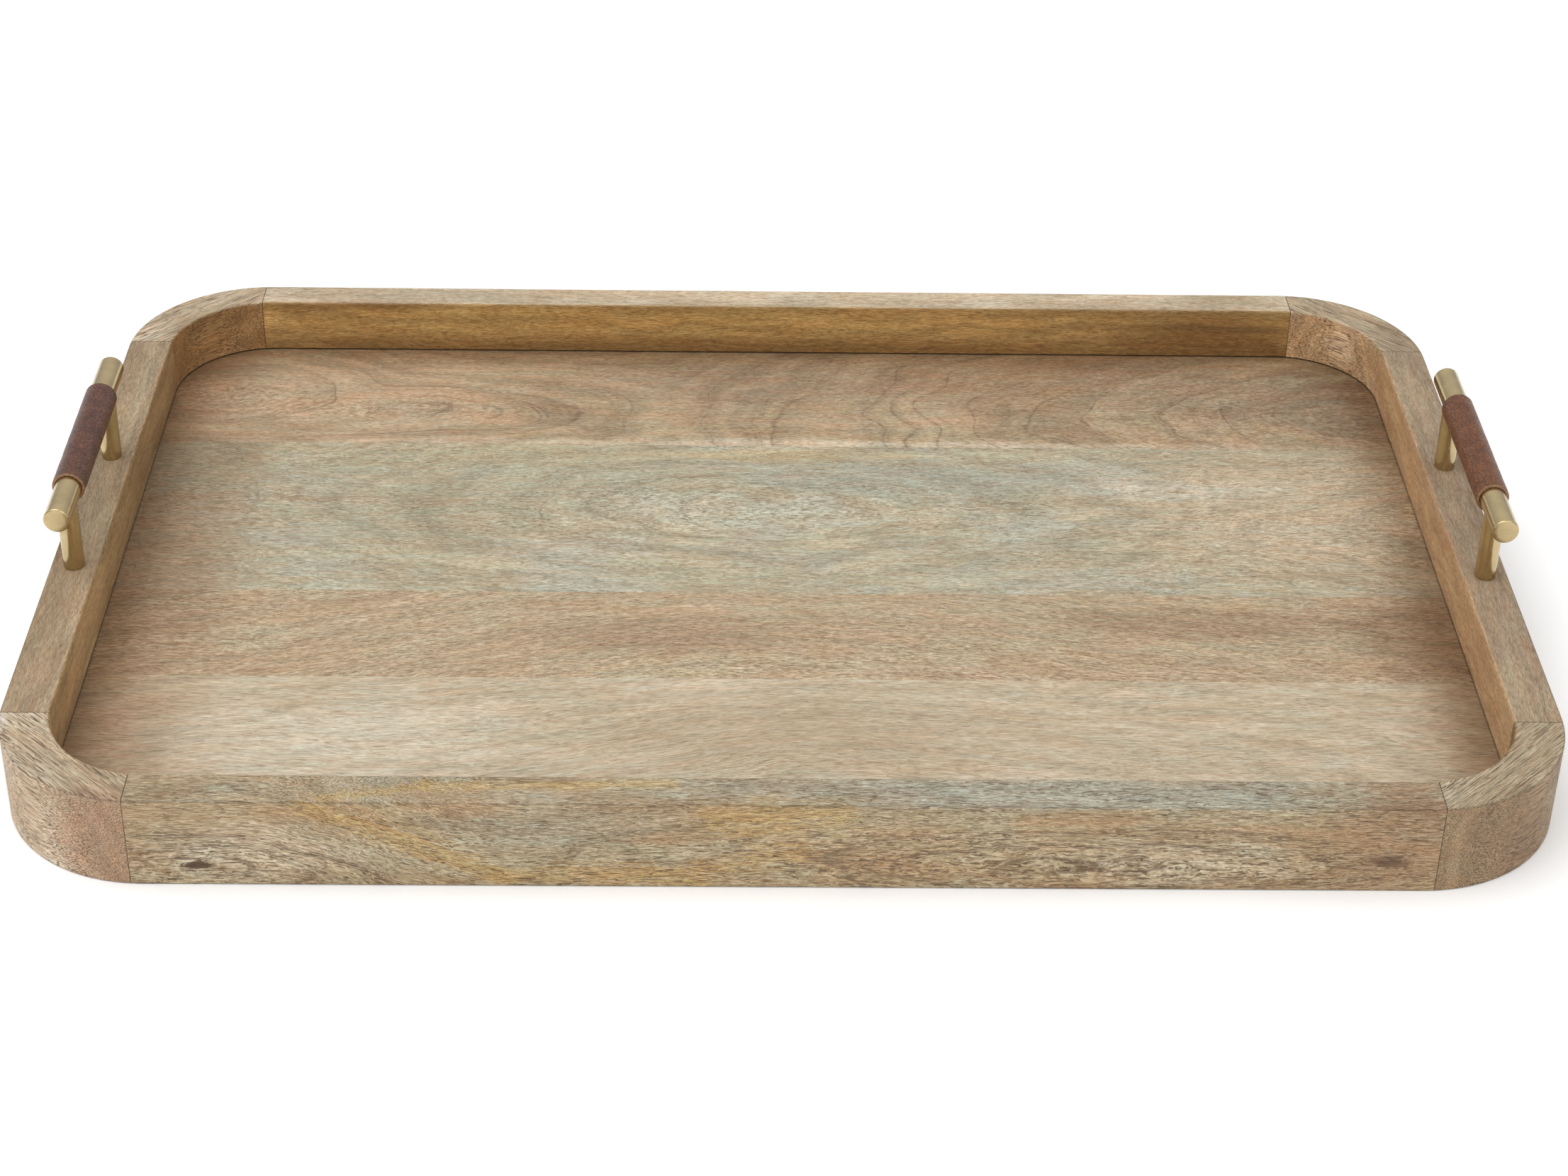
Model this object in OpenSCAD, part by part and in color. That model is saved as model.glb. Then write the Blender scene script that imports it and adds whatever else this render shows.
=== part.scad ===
// Solid-wood serving tray with two fixed brass bar handles in leather sleeves.
// The origin is the centre of the footprint, on the surface that the tray stands on.
// +X runs from the left handle to the right handle, +Y to the back, +Z up. Millimetres.

/* [Frame] */
// Outside length, along the floor boards
tray_length = 560; // [460:5:700]
// Outside width, along the handles
tray_width = 380; // [320:5:480]
// Height of the rim above the table
rim_height = 36; // [34:1:60]
// Width of the two side rails that carry the handles
side_rail_width = 18; // [17:0.5:24]
// Width of the front and back rails
long_rail_width = 16; // [14:0.5:20]
// Outside radius of the rounded corners
corner_radius = 56; // [48:1:70]
// How far the rails run into the curve before they meet the corner blocks
joint_inset = 4; // [0:0.5:6]

/* [Floor] */
// Thickness of the floor boards
floor_thickness = 9; // [6:0.5:9]
// Height of the floor's underside above the table
floor_clearance = 4; // [3:0.5:5]
// Depth of the groove that holds the floor's edge
groove_depth = 3.5; // [2:0.5:3.5]
// Width of the board at the back, measured from the back rail
board_1_width = 82; // [60:1:90]
// Width of the second board
board_2_width = 114; // [80:1:120]
// Width of the third board; the fourth takes what is left
board_3_width = 59; // [40:1:70]

/* [Handles] */
// Distance between the centres of a handle's two posts
post_spacing = 82; // [80:1:100]
// Diameter of the posts
post_diameter = 8; // [7:0.5:9]
// Height of the bar's centre line above the rim
bar_rise = 31; // [28:1:45]
// Diameter of the bar
bar_diameter = 10; // [9:0.5:12]
// Length of the bar
bar_length = 118; // [112:1:160]
// Length of the leather sleeve, between the posts
sleeve_length = 70; // [50:1:71]
// Thickness of the leather
sleeve_wall = 1.3; // [1:0.1:2]

/* [Joints and fasteners] */
// Diameter of the dowels across the corner joints
dowel_diameter = 6; // [4:0.5:6]
// Length of the dowels
dowel_length = 24; // [16:1:26]
// Thread diameter of the handle screws and of the studs in the posts
thread_diameter = 4; // [3:0.5:4]
// Length of a handle screw's thread inside its post
screw_engagement = 9; // [6:1:12]
// Diameter of the counterbore that hides a screw head under the rail
counterbore_diameter = 9; // [8.5:0.5:9.5]
// Depth of that counterbore
counterbore_depth = 5; // [4:0.5:6]
// Length of a stud between post and bar
stud_length = 14; // [12:0.5:14]

/* [Hidden] */
$fn = 96;

// How far a cutting solid runs past the surface that it cuts
past = 1;
// Radial gap of a dowel, stud or screw in its hole, and of the leather on the bar
fit_gap = 0.05;
// Room for the floor to swell in its groove
swell_gap = 0.3;

half_length = tray_length / 2;
half_width = tray_width / 2;
well_half_length = half_length - side_rail_width;
well_half_width = half_width - long_rail_width;
well_radius = corner_radius - long_rail_width;
floor_top = floor_clearance + floor_thickness;

// Butt joints: the long rails end at joint_x, the side rails at joint_y
joint_x = half_length - corner_radius + joint_inset;
joint_y = half_width - corner_radius + joint_inset;
dowel_end_room = 0.5;
dowel_chamfer = 0.8;
// Height of the low dowel, as a share of the rim's height above the floor; the high one mirrors it
dowel_share = 0.28;
dowel_heights = [for (share = [dowel_share, 1 - dowel_share]) floor_top + share * (rim_height - floor_top)];

// Seams between the floor boards, from the back rail to the front rail
seam_1 = well_half_width - board_1_width;
seam_2 = seam_1 - board_2_width;
seam_3 = seam_2 - board_3_width;

handle_x = half_length - side_rail_width / 2;
bar_height = rim_height + bar_rise;
bar_chamfer = 0.6;
post_chamfer = 0.5;
sleeve_bore_radius = bar_diameter / 2 + fit_gap;

// Screw: it bears on the bottom of its counterbore and runs up through the rail into the post
screw_head_diameter = 8;
screw_head_height = 2.6;
screw_head_rounding = 1.2;
recess_length = 4.4;
recess_width = 0.9;
recess_depth = 1.5;
screw_clearance = 0.5;
screw_tip = rim_height + screw_engagement;
blind_room = 1;
// How far a stud reaches past the bar's centre line
stud_reach = 2;
stud_top = bar_height + stud_reach;
thread_chamfer = 0.4;

wood_brown = [0.56, 0.42, 0.31];
wood_grey = [0.50, 0.42, 0.33];
wood_tan = [0.68, 0.54, 0.42];
wood_beige = [0.66, 0.58, 0.47];
wood_cream = [0.78, 0.68, 0.56];
beech = [0.80, 0.66, 0.47];
brass = [0.80, 0.66, 0.42];
leather = [0.37, 0.20, 0.15];
zinc = [0.72, 0.73, 0.74];

// ---- Outlines and shared shapes ----

// A rectangle with round corners, centred on the origin
module rounded_rectangle(half_x, half_y, radius) {
    square([2 * half_x, 2 * (half_y - radius)], center = true);
    square([2 * (half_x - radius), 2 * half_y], center = true);
    for (side_x = [-1, 1], side_y = [-1, 1])
        translate([side_x * (half_x - radius), side_y * (half_y - radius)])
            circle(r = radius);
}

// The well's outline grown by a margin, with its corner arcs kept concentric
module well_outline(margin) {
    rounded_rectangle(well_half_length + margin, well_half_width + margin, well_radius + margin);
}

// The whole rim as one ring, with the groove that holds the floor
module rim_ring() {
    difference() {
        linear_extrude(rim_height) rounded_rectangle(half_length, half_width, corner_radius);
        translate([0, 0, -past]) linear_extrude(rim_height + 2 * past) well_outline(0);
        translate([0, 0, floor_clearance]) linear_extrude(floor_thickness) well_outline(groove_depth);
    }
}

// A rod along +Z from the origin with chamfered ends
module chamfered_rod(diameter, length, chamfer) {
    radius = diameter / 2;
    rotate_extrude()
        polygon([[0, 0], [radius - chamfer, 0], [radius, chamfer],
                 [radius, length - chamfer], [radius - chamfer, length], [0, length]]);
}

// Mirrors its children to the left side, or leaves them on the right
module on_side(side_x) {
    mirror([side_x < 0 ? 1 : 0, 0, 0]) children();
}

// Mirrors its children to the front, or leaves them at the back
module on_row(side_y) {
    mirror([0, side_y < 0 ? 1 : 0, 0]) children();
}

// ---- Dowels across the butt joints ----

// Both are centred on the joint, along +Z
module dowel() {
    translate([0, 0, -dowel_length / 2]) chamfered_rod(dowel_diameter, dowel_length, dowel_chamfer);
}

module dowel_hole() {
    cylinder(d = dowel_diameter + 2 * fit_gap, h = dowel_length + 2 * dowel_end_room, center = true);
}

// Places its children at both heights in the joint at the right end of the back rail
module at_long_joint() {
    for (height = dowel_heights)
        translate([joint_x, half_width - long_rail_width / 2, height]) rotate([0, 90, 0]) children();
}

// Places its children at both heights in the joint at the back end of the right rail
module at_side_joint() {
    for (height = dowel_heights)
        translate([half_length - side_rail_width / 2, joint_y, height]) rotate([90, 0, 0]) children();
}

module long_dowel_set(side_y) {
    color(beech) on_row(side_y) for (side_x = [-1, 1]) on_side(side_x) at_long_joint() dowel();
}

module side_dowel_set(side_x) {
    color(beech) on_side(side_x) for (side_y = [-1, 1]) on_row(side_y) at_side_joint() dowel();
}

module front_dowels() {
    long_dowel_set(-1);
}

module back_dowels() {
    long_dowel_set(1);
}

module left_dowels() {
    side_dowel_set(-1);
}

module right_dowels() {
    side_dowel_set(1);
}

// ---- Rim: four straight rails and four corner blocks ----

// The back rail, or its mirror image at the front
module long_rail(side_y) {
    on_row(side_y) difference() {
        intersection() {
            rim_ring();
            translate([-joint_x, 0, -past]) cube([2 * joint_x, tray_width, rim_height + 2 * past]);
        }
        for (side_x = [-1, 1]) on_side(side_x) at_long_joint() dowel_hole();
    }
}

// The right rail, or its mirror image on the left, with the holes for the handle screws
module side_rail(side_x) {
    on_side(side_x) difference() {
        intersection() {
            rim_ring();
            translate([0, -joint_y, -past]) cube([tray_length, 2 * joint_y, rim_height + 2 * past]);
        }
        for (side_y = [-1, 1]) on_row(side_y) {
            at_side_joint() dowel_hole();
            translate([handle_x, post_spacing / 2, -past]) {
                cylinder(d = thread_diameter + screw_clearance, h = rim_height + 2 * past);
                cylinder(d = counterbore_diameter, h = counterbore_depth + past);
            }
        }
    }
}

// The back right corner block, or its mirror image at another corner
module corner_block(side_x, side_y) {
    on_side(side_x) on_row(side_y) difference() {
        intersection() {
            rim_ring();
            translate([joint_x, joint_y, -past])
                cube([corner_radius, corner_radius, rim_height + 2 * past]);
        }
        at_long_joint() dowel_hole();
        at_side_joint() dowel_hole();
    }
}

module front_rail() {
    color(wood_brown) long_rail(-1);
}

module back_rail() {
    color(wood_beige) long_rail(1);
}

module left_rail() {
    color(wood_tan) side_rail(-1);
}

module right_rail() {
    color(wood_grey) side_rail(1);
}

module front_left_corner() {
    color(wood_tan) corner_block(-1, -1);
}

module front_right_corner() {
    color(wood_brown) corner_block(1, -1);
}

module back_left_corner() {
    color(wood_grey) corner_block(-1, 1);
}

module back_right_corner() {
    color(wood_brown) corner_block(1, 1);
}

// ---- Floor: four boards glued edge to edge, held in the groove ----

// The strip of the floor panel between two seams
module floor_board(front_y, back_y) {
    translate([0, 0, floor_clearance]) linear_extrude(floor_thickness) intersection() {
        well_outline(groove_depth - swell_gap);
        translate([-half_length, front_y]) square([tray_length, back_y - front_y]);
    }
}

module floor_board_1() {
    color(wood_tan) floor_board(seam_1, half_width);
}

module floor_board_2() {
    color(wood_beige) floor_board(seam_2, seam_1);
}

module floor_board_3() {
    color(wood_tan) floor_board(seam_3, seam_2);
}

module floor_board_4() {
    color(wood_cream) floor_board(-half_width, seam_3);
}

// ---- Handles, each made on the right and mirrored for the left ----

// Places its children at the foot of one post, on the table's plane
module at_post(side_y) {
    translate([handle_x, side_y * post_spacing / 2, 0]) children();
}

// The tapped holes for both studs, from inside the posts into the bar
module stud_holes() {
    for (side_y = [-1, 1]) at_post(side_y)
        translate([0, 0, stud_top - stud_length - blind_room])
            cylinder(d = thread_diameter + 2 * fit_gap, h = stud_length + 2 * blind_room);
}

module handle_bar(side_x) {
    color(brass) on_side(side_x) difference() {
        translate([handle_x, bar_length / 2, bar_height]) rotate([90, 0, 0])
            chamfered_rod(bar_diameter, bar_length, bar_chamfer);
        stud_holes();
    }
}

// A post stands on the rim, and its top is coped to sit against the bar
module post(side_x, side_y) {
    color(brass) on_side(side_x) difference() {
        at_post(side_y) translate([0, 0, rim_height])
            chamfered_rod(post_diameter, bar_rise, post_chamfer);
        translate([handle_x, bar_length / 2 + past, bar_height]) rotate([90, 0, 0])
            cylinder(d = bar_diameter, h = bar_length + 2 * past);
        at_post(side_y) translate([0, 0, rim_height - past])
            cylinder(d = thread_diameter + 2 * fit_gap, h = screw_tip + blind_room - rim_height + past);
        stud_holes();
    }
}

module leather_sleeve(side_x) {
    color(leather) on_side(side_x)
        translate([handle_x, sleeve_length / 2, bar_height]) rotate([90, 0, 0])
            difference() {
                cylinder(r = sleeve_bore_radius + sleeve_wall, h = sleeve_length);
                translate([0, 0, -past]) cylinder(r = sleeve_bore_radius, h = sleeve_length + 2 * past);
            }
}

module post_studs(side_x) {
    color(zinc) on_side(side_x) for (side_y = [-1, 1]) at_post(side_y)
        translate([0, 0, stud_top - stud_length])
            chamfered_rod(thread_diameter, stud_length, thread_chamfer);
}

// A pan-head screw on its seat, with a cross recess in the head
module handle_screw() {
    head_radius = screw_head_diameter / 2;
    difference() {
        union() {
            translate([0, 0, counterbore_depth])
                chamfered_rod(thread_diameter, screw_tip - counterbore_depth, thread_chamfer);
            translate([0, 0, counterbore_depth - screw_head_height]) rotate_extrude() {
                translate([0, screw_head_rounding])
                    square([head_radius, screw_head_height - screw_head_rounding]);
                square([head_radius - screw_head_rounding, screw_head_height]);
                translate([head_radius - screw_head_rounding, screw_head_rounding])
                    intersection() {
                        circle(r = screw_head_rounding);
                        translate([0, -screw_head_rounding]) square(screw_head_rounding);
                    }
            }
        }
        for (turn = [0, 90])
            translate([0, 0, counterbore_depth - screw_head_height]) rotate(turn)
                cube([recess_length, recess_width, 2 * recess_depth], center = true);
    }
}

module handle_screws(side_x) {
    color(zinc) on_side(side_x) for (side_y = [-1, 1]) at_post(side_y) handle_screw();
}

module left_handle_bar() {
    handle_bar(-1);
}

module right_handle_bar() {
    handle_bar(1);
}

module left_leather_sleeve() {
    leather_sleeve(-1);
}

module right_leather_sleeve() {
    leather_sleeve(1);
}

module left_front_post() {
    post(-1, -1);
}

module left_back_post() {
    post(-1, 1);
}

module right_front_post() {
    post(1, -1);
}

module right_back_post() {
    post(1, 1);
}

module left_post_studs() {
    post_studs(-1);
}

module right_post_studs() {
    post_studs(1);
}

module left_handle_screws() {
    handle_screws(-1);
}

module right_handle_screws() {
    handle_screws(1);
}

front_rail();
back_rail();
left_rail();
right_rail();
front_left_corner();
front_right_corner();
back_left_corner();
back_right_corner();
floor_board_1();
floor_board_2();
floor_board_3();
floor_board_4();
front_dowels();
back_dowels();
left_dowels();
right_dowels();
left_handle_bar();
right_handle_bar();
left_leather_sleeve();
right_leather_sleeve();
left_front_post();
left_back_post();
right_front_post();
right_back_post();
left_post_studs();
right_post_studs();
left_handle_screws();
right_handle_screws();
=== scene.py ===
import math

import bmesh
import bpy
from mathutils import Matrix, Vector, noise


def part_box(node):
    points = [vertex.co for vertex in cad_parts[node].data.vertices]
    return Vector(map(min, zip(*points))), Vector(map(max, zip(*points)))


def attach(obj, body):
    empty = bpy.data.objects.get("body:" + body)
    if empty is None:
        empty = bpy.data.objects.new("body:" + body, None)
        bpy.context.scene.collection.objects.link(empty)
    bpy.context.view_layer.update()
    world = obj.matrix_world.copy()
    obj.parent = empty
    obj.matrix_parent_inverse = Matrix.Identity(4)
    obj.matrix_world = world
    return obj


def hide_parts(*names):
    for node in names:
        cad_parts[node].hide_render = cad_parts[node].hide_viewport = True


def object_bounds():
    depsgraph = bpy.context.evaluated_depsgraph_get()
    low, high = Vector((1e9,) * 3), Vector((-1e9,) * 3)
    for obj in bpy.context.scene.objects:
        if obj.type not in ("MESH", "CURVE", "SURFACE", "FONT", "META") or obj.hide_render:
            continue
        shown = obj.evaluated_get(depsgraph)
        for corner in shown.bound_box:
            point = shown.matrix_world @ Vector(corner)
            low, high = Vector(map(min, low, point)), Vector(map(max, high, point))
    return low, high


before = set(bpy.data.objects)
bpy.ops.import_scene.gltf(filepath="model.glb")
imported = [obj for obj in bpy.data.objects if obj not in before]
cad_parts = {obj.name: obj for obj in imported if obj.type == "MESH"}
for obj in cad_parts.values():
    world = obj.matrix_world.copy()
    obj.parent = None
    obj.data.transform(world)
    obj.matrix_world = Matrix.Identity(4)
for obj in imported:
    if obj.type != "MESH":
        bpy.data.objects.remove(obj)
cad_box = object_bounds()

MM = 0.001

# ---- Sizes, from the frame where it holds them ----

HALF_LENGTH, HALF_WIDTH, _ = cad_box[1]
RIM_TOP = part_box("front_rail")[1].z
JOINT_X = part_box("back_rail")[1].x
JOINT_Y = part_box("right_rail")[1].y
FLOOR_BOTTOM, FLOOR_TOP = (corner.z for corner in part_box("floor_board_1"))
BAR_LOW, BAR_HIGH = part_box("right_handle_bar")
BAR_RADIUS = (BAR_HIGH.z - BAR_LOW.z) / 2
HANDLE_X = (BAR_LOW.x + BAR_HIGH.x) / 2
HANDLE_Z = (BAR_LOW.z + BAR_HIGH.z) / 2
POST_LOW, POST_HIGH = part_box("right_back_post")
POST_RADIUS = (POST_HIGH.x - POST_LOW.x) / 2
POST_Y = (POST_LOW.y + POST_HIGH.y) / 2
SLEEVE_LOW, SLEEVE_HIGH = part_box("right_leather_sleeve")
SLEEVE_RADIUS = (SLEEVE_HIGH.z - SLEEVE_LOW.z) / 2
DOWEL_LOW, DOWEL_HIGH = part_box("back_dowels")
DOWEL_RADIUS = (DOWEL_HIGH.y - DOWEL_LOW.y) / 2
SIDE_RAIL_WIDTH = 2 * (HALF_LENGTH - HANDLE_X)
LONG_RAIL_WIDTH = 2 * (HALF_WIDTH - (DOWEL_LOW.y + DOWEL_HIGH.y) / 2)
WELL_HALF_LENGTH = HALF_LENGTH - SIDE_RAIL_WIDTH
WELL_HALF_WIDTH = HALF_WIDTH - LONG_RAIL_WIDTH
CORNER_RADIUS = 56 * MM
WELL_RADIUS = CORNER_RADIUS - LONG_RAIL_WIDTH

TOP_EASE = 0.9 * MM
BOTTOM_EASE = 0.6 * MM
JOINT_EASE = 0.2 * MM
GROOVE_DEPTH = 3.5 * MM
FLOOR_GAP = 0.6 * MM
BOARD_EASE = 0.1 * MM
SWELL_GAP = 0.3 * MM
COUNTERBORE_RADIUS = 4.5 * MM
COUNTERBORE_DEPTH = 5 * MM
SCREW_RADIUS = 2 * MM
SCREW_CLEARANCE = 0.25 * MM
BORE_GAP = 0.05 * MM
DOWEL_END_GAP = 0.5 * MM
WELD_DISTANCE = 0.001 * MM
SHARP_ANGLE = 38  # degrees

# ---- Meshes ----


def mesh_object(name, bm, sharp_angle=SHARP_ANGLE):
    """Turns a bmesh into an object with smooth shading that breaks at its sharp edges."""
    bmesh.ops.recalc_face_normals(bm, faces=bm.faces)
    mesh = bpy.data.meshes.new(name)
    bm.to_mesh(mesh)
    bm.free()
    mesh.polygons.foreach_set("use_smooth", [True] * len(mesh.polygons))
    mesh.set_sharp_from_angle(angle=math.radians(sharp_angle))
    piece = bpy.data.objects.new(name, mesh)
    bpy.context.scene.collection.objects.link(piece)
    return piece


def finish_piece(piece, slot, *nodes):
    """Weights the normals by face area, ties the piece to its body and hides its CAD nodes. The slot is not
    used.
    """
    weighted = piece.modifiers.new("weighted_normals", "WEIGHTED_NORMAL")
    weighted.keep_sharp = True
    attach(piece, "root")
    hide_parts(*nodes)
    return piece


def bridge_rings(bm, rings, closed=False):
    """Joins rings of equal length with quads. Each ring is a list of bmesh vertices in a loop."""
    pairs = list(zip(rings, rings[1:]))
    if closed:
        pairs.append((rings[-1], rings[0]))
    for ring, following in pairs:
        count = len(ring)
        for i in range(count):
            after = (i + 1) % count
            bm.faces.new((ring[i], ring[after], following[after], following[i]))


def arc_points(centre, radius, start, end, steps):
    """Points on a circle from one angle to another, in degrees, both ends included."""
    angles = [math.radians(start + (end - start) * i / steps) for i in range(steps + 1)]
    return [(centre[0] + radius * math.cos(a), centre[1] + radius * math.sin(a)) for a in angles]


def lathe(profile, segments):
    """A bmesh turned round +Z from (radius, height) pairs, the first and last on the axis."""
    bm = bmesh.new()
    rings = []
    for radius, height in profile[1:-1]:
        angles = [2 * math.pi * i / segments for i in range(segments)]
        rings.append([bm.verts.new((radius * math.cos(a), radius * math.sin(a), height)) for a in angles])
    bridge_rings(bm, rings)
    for ring, (_, height) in ((rings[0], profile[0]), (rings[-1], profile[-1])):
        centre = bm.verts.new((0, 0, height))
        for i in range(segments):
            bm.faces.new((ring[i], ring[(i + 1) % segments], centre))
    return bm


def rod(radius, length):
    """A plain cylinder along +Z from the origin, as a bmesh."""
    return lathe([(0, 0), (radius, 0), (radius, length), (0, length)], segments=48)


def cut_bores(piece, bores):
    """Cuts cylinders out of a piece and welds the cut. Each bore is (radius, start point, end point)."""
    cutter_mesh = bmesh.new()
    for radius, start, end in bores:
        along = Vector(end) - Vector(start)
        one = rod(radius, along.length)
        one.transform(Matrix.Translation(start) @ along.to_track_quat("Z", "Y").to_matrix().to_4x4())
        scratch = bpy.data.meshes.new("scratch")
        one.to_mesh(scratch)
        one.free()
        cutter_mesh.from_mesh(scratch)
        bpy.data.meshes.remove(scratch)
    cutter = mesh_object("bore_cutter", cutter_mesh)
    boolean = piece.modifiers.new("bores", "BOOLEAN")
    boolean.operation = "DIFFERENCE"
    boolean.solver = "EXACT"
    boolean.object = cutter
    bpy.context.view_layer.update()
    bored = bmesh.new()
    bored.from_object(piece, bpy.context.evaluated_depsgraph_get())
    piece.modifiers.remove(boolean)
    bpy.data.objects.remove(cutter)
    bmesh.ops.remove_doubles(bored, verts=bored.verts, dist=WELD_DISTANCE)
    bored.to_mesh(piece.data)
    bored.free()
    piece.data.set_sharp_from_angle(angle=math.radians(SHARP_ANGLE))


# ---- Rim: four rails and four corner blocks ----


def rim_profile(shrink):
    """The section of the rim as (wall, depth, height): wall is 0 for a depth from the inner wall and 1 for
    one from the outer wall. shrink pulls the whole section in, for the eased ends at the joints."""
    top = RIM_TOP - shrink
    steps = 4
    inner_top = arc_points((TOP_EASE + shrink, top - TOP_EASE), TOP_EASE, 180, 90, steps)
    outer_top = arc_points((TOP_EASE + shrink, top - TOP_EASE), TOP_EASE, 90, 180, steps)
    low = BOTTOM_EASE + shrink
    outer_low = arc_points((low, low), BOTTOM_EASE, 180, 270, steps)
    inner_low = arc_points((low, low), BOTTOM_EASE, 270, 180, steps)
    groove = GROOVE_DEPTH + shrink
    lip = FLOOR_BOTTOM - shrink
    roof = FLOOR_TOP + FLOOR_GAP + shrink
    profile = [(0, shrink, roof)]
    for wall, arc in ((0, inner_top), (1, outer_top), (1, outer_low), (0, inner_low)):
        profile += [(wall, depth, height) for depth, height in arc]
    return profile + [(0, shrink, lip), (0, groove, lip), (0, groove, roof)]


def loft_rim(name, stations):
    """A rim piece through (inner point, outer point) stations, in plan, with its two ends eased."""
    bm = bmesh.new()
    rings = []

    def inset(end, neighbour):
        """An end station, moved in along the piece by the ease."""
        inward = (neighbour[1] - end[1]).normalized()
        return [point + inward * JOINT_EASE for point in end]

    first = inset(stations[0], stations[1])
    last = inset(stations[-1], stations[-2])
    sections = [(stations[0], JOINT_EASE), (first, 0)]
    sections += [(station, 0) for station in stations[1:-1]]
    sections += [(last, 0), (stations[-1], JOINT_EASE)]
    for (inner, outer), shrink in sections:
        across = (outer - inner).normalized()
        ring = []
        for wall, depth, height in rim_profile(shrink):
            plan = outer - across * depth if wall else inner + across * depth
            ring.append(bm.verts.new((plan.x, plan.y, height)))
        rings.append(ring)
    bridge_rings(bm, rings)
    bm.faces.new(rings[0])
    bm.faces.new(rings[-1])
    return mesh_object(name, bm)


def outline_at(along, half_along, half_across, radius):
    """How far a round-cornered outline lies from its centre line at a distance along it."""
    past_arc = abs(along) - (half_along - radius)
    if past_arc <= 0:
        return half_across
    return half_across - radius + math.sqrt(radius**2 - past_arc**2)


def rail_stations(joint, half_along, half_across, well_along, well_across):
    """Stations of a straight rail, as (distance along, inner distance, outer distance). They are closer
    together past the start of the corner's arcs, where the rail's walls begin to curve."""
    end_steps = 4
    half_steps = 6
    arc_start = min(half_along - CORNER_RADIUS, well_along - WELL_RADIUS)
    ends = [arc_start + (joint - arc_start) * i / end_steps for i in range(end_steps + 1)]
    middle = [arc_start * (i / half_steps - 1) for i in range(1, 2 * half_steps)]
    places = [-end for end in reversed(ends)] + middle + ends
    return [
        (
            place,
            outline_at(place, well_along, well_across, WELL_RADIUS),
            outline_at(place, half_along, half_across, CORNER_RADIUS),
        )
        for place in places
    ]


def dowel_bores(joint_point, along):
    """The two dowel holes across one butt joint. joint_point is its middle in plan."""
    reach = (DOWEL_HIGH.x - JOINT_X + DOWEL_END_GAP) * Vector(along)
    heights = (DOWEL_LOW.z + DOWEL_RADIUS, DOWEL_HIGH.z - DOWEL_RADIUS)
    middles = [Vector((joint_point[0], joint_point[1], height)) for height in heights]
    return [(DOWEL_RADIUS + BORE_GAP, middle - reach, middle + reach) for middle in middles]


def long_joint_bores(side_x, side_y):
    return dowel_bores((side_x * JOINT_X, side_y * (HALF_WIDTH - LONG_RAIL_WIDTH / 2)), (1, 0, 0))


def side_joint_bores(side_x, side_y):
    return dowel_bores((side_x * HANDLE_X, side_y * JOINT_Y), (0, 1, 0))


def long_rail(name, side_y):
    """The front or back rail."""
    stations = [
        (Vector((x, side_y * inner)), Vector((x, side_y * outer)))
        for x, inner, outer in rail_stations(
            JOINT_X, HALF_LENGTH, HALF_WIDTH, WELL_HALF_LENGTH, WELL_HALF_WIDTH
        )
    ]
    rail = loft_rim(name, stations)
    cut_bores(rail, long_joint_bores(-1, side_y) + long_joint_bores(1, side_y))
    return finish_piece(rail, "frame_wood", name)


def side_rail(name, side_x):
    """The left or right rail, with the counterbored holes for its handle screws."""
    stations = [
        (Vector((side_x * inner, y)), Vector((side_x * outer, y)))
        for y, inner, outer in rail_stations(
            JOINT_Y, HALF_WIDTH, HALF_LENGTH, WELL_HALF_WIDTH, WELL_HALF_LENGTH
        )
    ]
    rail = loft_rim(name, stations)
    bores = side_joint_bores(side_x, -1) + side_joint_bores(side_x, 1)
    for y in (-POST_Y, POST_Y):
        low, seat, high = (
            Vector((side_x * HANDLE_X, y, z)) for z in (-MM, COUNTERBORE_DEPTH, RIM_TOP + MM)
        )
        bores.append((COUNTERBORE_RADIUS, low, seat))
        # The screw's hole overlaps its counterbore, so it is cut before it
        cut_bores(rail, [(SCREW_RADIUS + SCREW_CLEARANCE, low, high)])
    cut_bores(rail, bores)
    return finish_piece(rail, "frame_wood", name)


def corner_block(name, side_x, side_y):
    """A corner block: both walls are arcs, cut by the planes of its two butt joints."""
    arcs = []
    for half_x, half_y, radius in (
        (WELL_HALF_LENGTH, WELL_HALF_WIDTH, WELL_RADIUS),
        (HALF_LENGTH, HALF_WIDTH, CORNER_RADIUS),
    ):
        centre = Vector((half_x - radius, half_y - radius))
        start = math.asin((JOINT_Y - centre.y) / radius)
        end = math.acos((JOINT_X - centre.x) / radius)
        arcs.append((centre, radius, start, end))
    steps = 28
    stations = []
    for i in range(steps + 1):
        station = []
        for centre, radius, start, end in arcs:
            angle = start + (end - start) * i / steps
            point = centre + radius * Vector((math.cos(angle), math.sin(angle)))
            station.append(Vector((side_x * point.x, side_y * point.y)))
        stations.append(station)
    block = loft_rim(name, stations)
    cut_bores(block, long_joint_bores(side_x, side_y) + side_joint_bores(side_x, side_y))
    return finish_piece(block, "frame_wood", name)


# ---- Floor ----


def board_outline(front_y, back_y, margin):
    """The floor panel's outline between two seams, as a loop of plan points."""
    half_x = WELL_HALF_LENGTH + margin
    half_y = WELL_HALF_WIDTH + margin
    radius = WELL_RADIUS + margin
    centre = Vector((half_x - radius, half_y - radius))
    quarter = arc_points(centre, radius, 0, 90, steps=16)
    front_end = [(x, -y) for x, y in reversed(quarter)] if front_y < -centre.y else [(half_x, front_y)]
    back_end = quarter if back_y > centre.y else [(half_x, back_y)]
    right_side = front_end + back_end
    return right_side + [(-x, y) for x, y in reversed(right_side)]


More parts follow.
